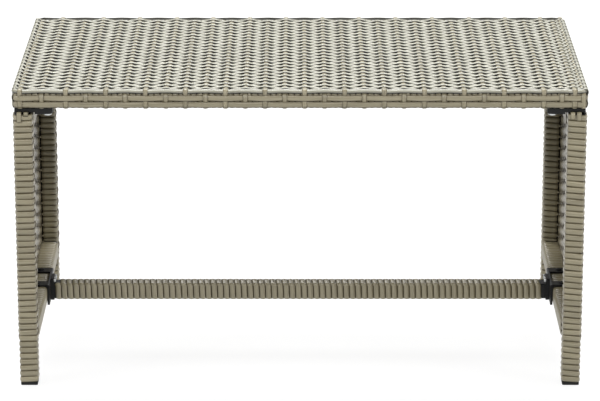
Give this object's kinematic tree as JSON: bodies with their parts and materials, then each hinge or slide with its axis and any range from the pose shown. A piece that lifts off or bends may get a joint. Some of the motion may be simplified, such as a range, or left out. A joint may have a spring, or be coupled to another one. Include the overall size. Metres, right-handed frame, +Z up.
{
  "type": "wicker coffee table",
  "caption": "Low rectangular garden table: flat woven-strip top on closed woven side frames, with a wrapped stretcher between them.",
  "frame": {"origin": "on the ground, under the middle of the table", "axes": "+X along the long side to the right, +Y to the rear, +Z up out of the top"},
  "size_m": [0.7, 0.38, 0.38],
  "materials": {
    "wicker": "streaked flat polyethylene strip, semi-matte",
    "frame_steel": "powder coated",
    "black_steel": "satin powder coat",
    "black_plastic": "moulded, fine grain",
    "zinc": "bright zinc plate"
  },
  "bodies": {
    "root": {"bracket_screws": "black_steel", "edge_weave_front": "wicker", "edge_weave_left": "wicker", "edge_weave_rear": "wicker", "edge_weave_right": "wicker", "flange_screws": "zinc", "left_front_bracket": "black_plastic", "left_front_foot": "black_plastic", "left_front_leg_tube": "frame_steel", "left_front_leg_wrap": "wicker", "left_lower_rail_tube": "frame_steel", "left_lower_rail_wrap": "wicker", "left_rear_bracket": "black_plastic", "left_rear_foot": "black_plastic", "left_rear_leg_tube": "frame_steel", "left_rear_leg_wrap": "wicker", "left_saddle": "black_steel", "left_side_weave": "wicker", "left_stretcher_flange": "black_steel", "left_upper_rail_tube": "frame_steel", "left_upper_rail_wrap": "wicker", "right_front_bracket": "black_plastic", "right_front_foot": "black_plastic", "right_front_leg_tube": "frame_steel", "right_front_leg_wrap": "wicker", "right_lower_rail_tube": "frame_steel", "right_lower_rail_wrap": "wicker", "right_rear_bracket": "black_plastic", "right_rear_foot": "black_plastic", "right_rear_leg_tube": "frame_steel", "right_rear_leg_wrap": "wicker", "right_saddle": "black_steel", "right_side_weave": "wicker", "right_stretcher_flange": "black_steel", "right_upper_rail_tube": "frame_steel", "right_upper_rail_wrap": "wicker", "saddle_screws": "black_steel", "stretcher_tube": "frame_steel", "stretcher_wrap": "wicker", "top_bolts": "zinc", "top_cross_bar_left": "frame_steel", "top_cross_bar_right": "frame_steel", "top_inserts": "zinc", "top_support_panel": "black_plastic", "top_tube_front": "frame_steel", "top_tube_left": "frame_steel", "top_tube_rear": "frame_steel", "top_tube_right": "frame_steel", "top_weave": "wicker", "top_wrap_front": "wicker", "top_wrap_left": "wicker", "top_wrap_rear": "wicker", "top_wrap_right": "wicker"}
  },
  "joints": []
}
